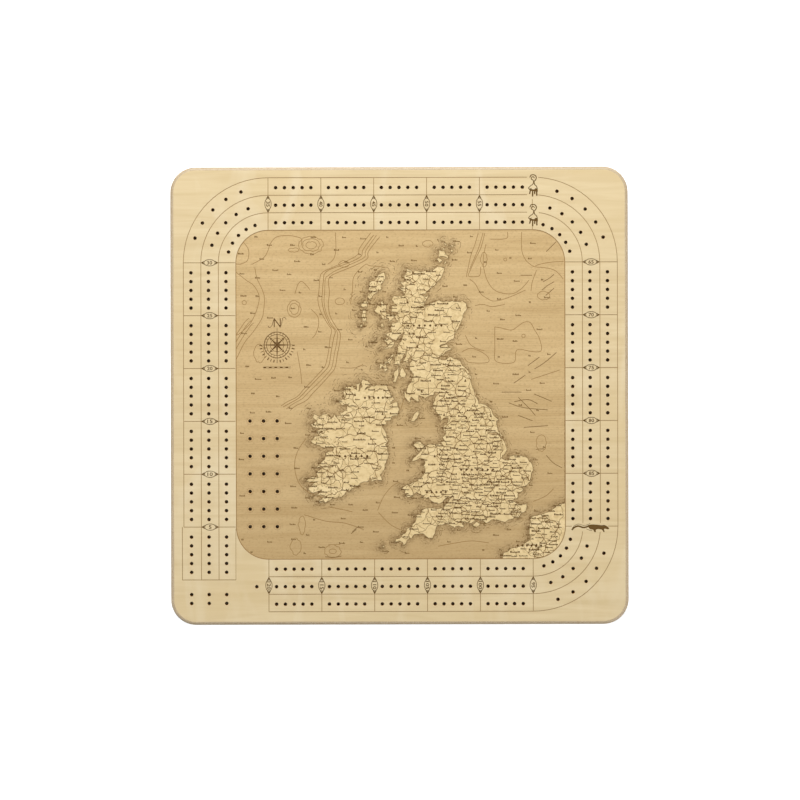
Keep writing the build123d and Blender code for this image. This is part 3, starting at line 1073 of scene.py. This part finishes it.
def ply_board(name, shift, faces=(196, 170, 128)):
    """Plywood seen from all sides: grain on the flat faces and layers on the edges."""
    f = Finish(name, roughness=0.58, specular_ior_level=0.25)
    darker = tuple(0.9 * v for v in faces)
    warm = (faces[0], faces[1] * 0.95, faces[2] * 0.9)
    grain, _, fibres = birch_colour(f, faces, darker, warm, shift)
    layers, _ = ply_layers(f)
    facing = f.maths("ABSOLUTE", f.node("SeparateXYZ", {0: f.node("NewGeometry", {}, "Normal")}, 2))
    f.join(f.shader, {"base_color": f.blend(f.between(facing, 0.6, 0.9), layers, grain)})
    f.bump(fibres, 0.00008, 0.5)
    return f.material


def burnt(name, colour):
    """The char left in an engraved line, even all over because a line is narrower than any pattern. The
    coast's line is partly char and partly painted shadow of the raised land.
    """
    return Finish(name, base_color=srgb(*colour), roughness=0.75, specular_ior_level=0.1).material


def metal(name, colour, roughness, metallic=1.0):
    """Metal with fine rings across the pegs' length, as a lathe leaves them, and slightly uneven gloss."""
    f = Finish(name, base_color=srgb(*colour), metallic=metallic)
    rings = f.noise((60, 5200, 60), 2.0)
    wear = f.noise((400, 120, 400), 3.0)
    f.join(f.shader, {"roughness": f.ramp(wear, roughness, roughness + 0.12, 0.3, 0.7)})
    f.bump(rings, 0.00002, 0.35)
    return f.material


def rubber():
    f = Finish("foot_rubber", base_color=srgb(42, 41, 40), specular_ior_level=0.3)
    grain = f.noise((1500, 1500, 1500), 2.0)
    f.join(f.shader, {"roughness": f.ramp(grain, 0.7, 0.88)})
    f.bump(grain, 0.00008, 0.6)
    return f.material


def paint_cad_nodes():
    base = ply_board("base_birch", (0.7, 0.2, 0))
    cover = ply_board("cover_birch", (1.9, 0.6, 0), (204, 178, 136))
    nickel = metal("magnet_nickel", (190, 188, 182), 0.22)
    finishes = {
        "base_panel": base,
        "compartment_cover": cover,
        "base_magnet": nickel,
        "cover_magnet": nickel,
        "foot": rubber(),
        "brass_peg": metal("peg_brass", (214, 168, 88), 0.2),
        "steel_peg": metal("peg_steel", (186, 188, 190), 0.24),
        "black_peg": metal("peg_black", (38, 37, 38), 0.34, 0.6),
    }
    for name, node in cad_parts.items():
        kind = next((k for k in finishes if name.startswith(k)), None)
        if kind:
            for slot in node.material_slots:
                slot.material = finishes[kind]


# ---- stage ----


def backdrop(name, spots, quads, glow, shadow):
    """Part of the white surroundings, which glow for the camera but throw no light on the board."""
    mesh = bpy.data.meshes.new(name)
    mesh.from_pydata(spots, [], quads)
    f = Finish(name, base_color=(0.9, 0.9, 0.9, 1), roughness=0.8, specular_ior_level=0.1)
    f.join(f.shader, {"emission_color": (1, 1, 1, 1), "emission_strength": glow})
    mesh.materials.append(f.material)
    piece = new_object(name, mesh)
    piece.visible_diffuse = False
    piece.visible_shadow = shadow


def studio_floor():
    corners = [(x * FLOOR_SIZE, y * FLOOR_SIZE, 0) for x, y in ((-1, -1), (1, -1), (1, 1), (-1, 1))]
    backdrop("studio_floor", corners, [(0, 1, 2, 3)], FLOOR_GLOW, True)


def studio_dome():
    rings, turns = 16, 32
    spots = []
    for e in (math.pi * r / 2 / rings for r in range(rings + 1)):
        flat, height = DOME_SIZE * math.cos(e), DOME_SIZE * math.sin(e) - 0.5
        spots += [(x, y, height) for x, y in ring((0, 0), flat, turns)]
    quads = []
    for low in range(0, rings * turns, turns):
        for t in range(turns):
            following = (t + 1) % turns
            quads.append((low + t, low + turns + t, low + turns + following, low + following))
    backdrop("studio_dome", spots, quads, DOME_GLOW, False)


def lamps():
    for name, where, size, power in LAMPS:
        data = bpy.data.lights.new(name, "AREA")
        data.size, data.energy = size, power
        lamp = new_object(name, data)
        lamp.location = where
        lamp.rotation_euler = Vector(where).to_track_quat("Z", "Y").to_euler()


def sky():
    world = bpy.data.worlds.new("studio")
    world.use_nodes = True
    light = world.node_tree.nodes["Background"]
    light.inputs[0].default_value = SKY_COLOUR
    light.inputs[1].default_value = SKY_LIGHT
    scene = bpy.context.scene
    scene.world = world
    scene.view_settings.view_transform = "Standard"
    scene.view_settings.look = "None"


def camera():
    """Straight down on the face through a long lens, so that the picture is 753.7 mm wide there."""
    distance, width = 2.4, 0.7537
    data = bpy.data.cameras.new("camera")
    data.sensor_width = 36.0
    data.lens = 36.0 * distance / width
    eye = new_object("camera", data)
    eye.location = (0.0005, -0.0041, FACE_Z * MM + distance)
    eye.rotation_euler = (0, 0, math.radians(-0.14))
    bpy.context.scene.camera = eye


def draw_everything(holes):
    """Lays out every outline of the engraving. Gives the points of the coasts."""
    area("face", rounded_square(HALF - ROUND, CORNER - ROUND))
    area("sea", chart_border())
    for centre in holes:
        area("hole", ring(centre, HOLE + BEVEL[0], HOLE_SIDES))
    lane_lines()
    dividers()
    standing_skunk((126.4, 169.0))
    standing_skunk((126.4, 197.0))
    running_skunk((179.6, -125.2))
    outlines = chart_outlines()
    for outline in outlines:
        area("land", outline)
        # A dark line round every coast: partly the burnt edge, partly painted shadow of the land's raised
        # edge.
        stroke("coast", outline, 0.36, closed=True)
    depth_curves()
    land = LandMap(outlines)
    towns_and_roads(land)
    place_names(land)
    land_ornaments()
    coasts = shore_tree(outlines)
    broken_coast(coasts, land)
    sea_marks(coasts, land)
    compass_rose()
    counter_marks()
    return coasts


def mark_shore(sea, coasts):
    """How near each point of the sea is to land, for the dark band along the coasts, partly scorch and partly
    painted shade of the raised land, which is wider west of the land.
    """
    values = []
    for v in sea.data.vertices:
        x, y = v.co.x / MM, v.co.y / MM
        shore, _, away = coasts.find((x, y, 0))
        westerly = 0.5 + 0.5 * (shore[0] - x) / (away + 0.5)
        values.append((0.5 + 0.5 * westerly) * math.exp(-((away / (2.6 + 2.4 * westerly)) ** 1.3)))
    near = sea.data.attributes.new("shore", "FLOAT", "POINT")
    near.data.foreach_set("value", values)


def build_playing_panel(holes, coasts):
    """The ten pieces that stand for the CAD's playing panel."""
    shells = {piece: Shell() for _, _, piece in REGIONS.values()}
    relief(shells)
    rim = panel_sides(shells["playing_face"])
    panel_underside(shells["playing_face"], rim, holes)
    hole_walls(shells["peg_hole_walls"], holes)
    materials = {name: [burnt(*finish)] for name, finish in FINISHES.items()}
    materials["playing_face"] = [birch_face(), ply_edge(), ply_board("back_birch", (1.3, 0.9, 0))]
    materials["chart_land"] = [bare_land()]
    materials["chart_sea"] = [etched_sea()]
    for name, shell in shells.items():
        piece = shell.build(name, materials[name])
        if name == "chart_sea":
            mark_shore(piece, coasts)
        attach(piece, "board")
        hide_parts("top_panel")


holes = hole_centres()
build_playing_panel(holes, draw_everything(holes))
paint_cad_nodes()
studio_floor()
studio_dome()
lamps()
sky()
camera()
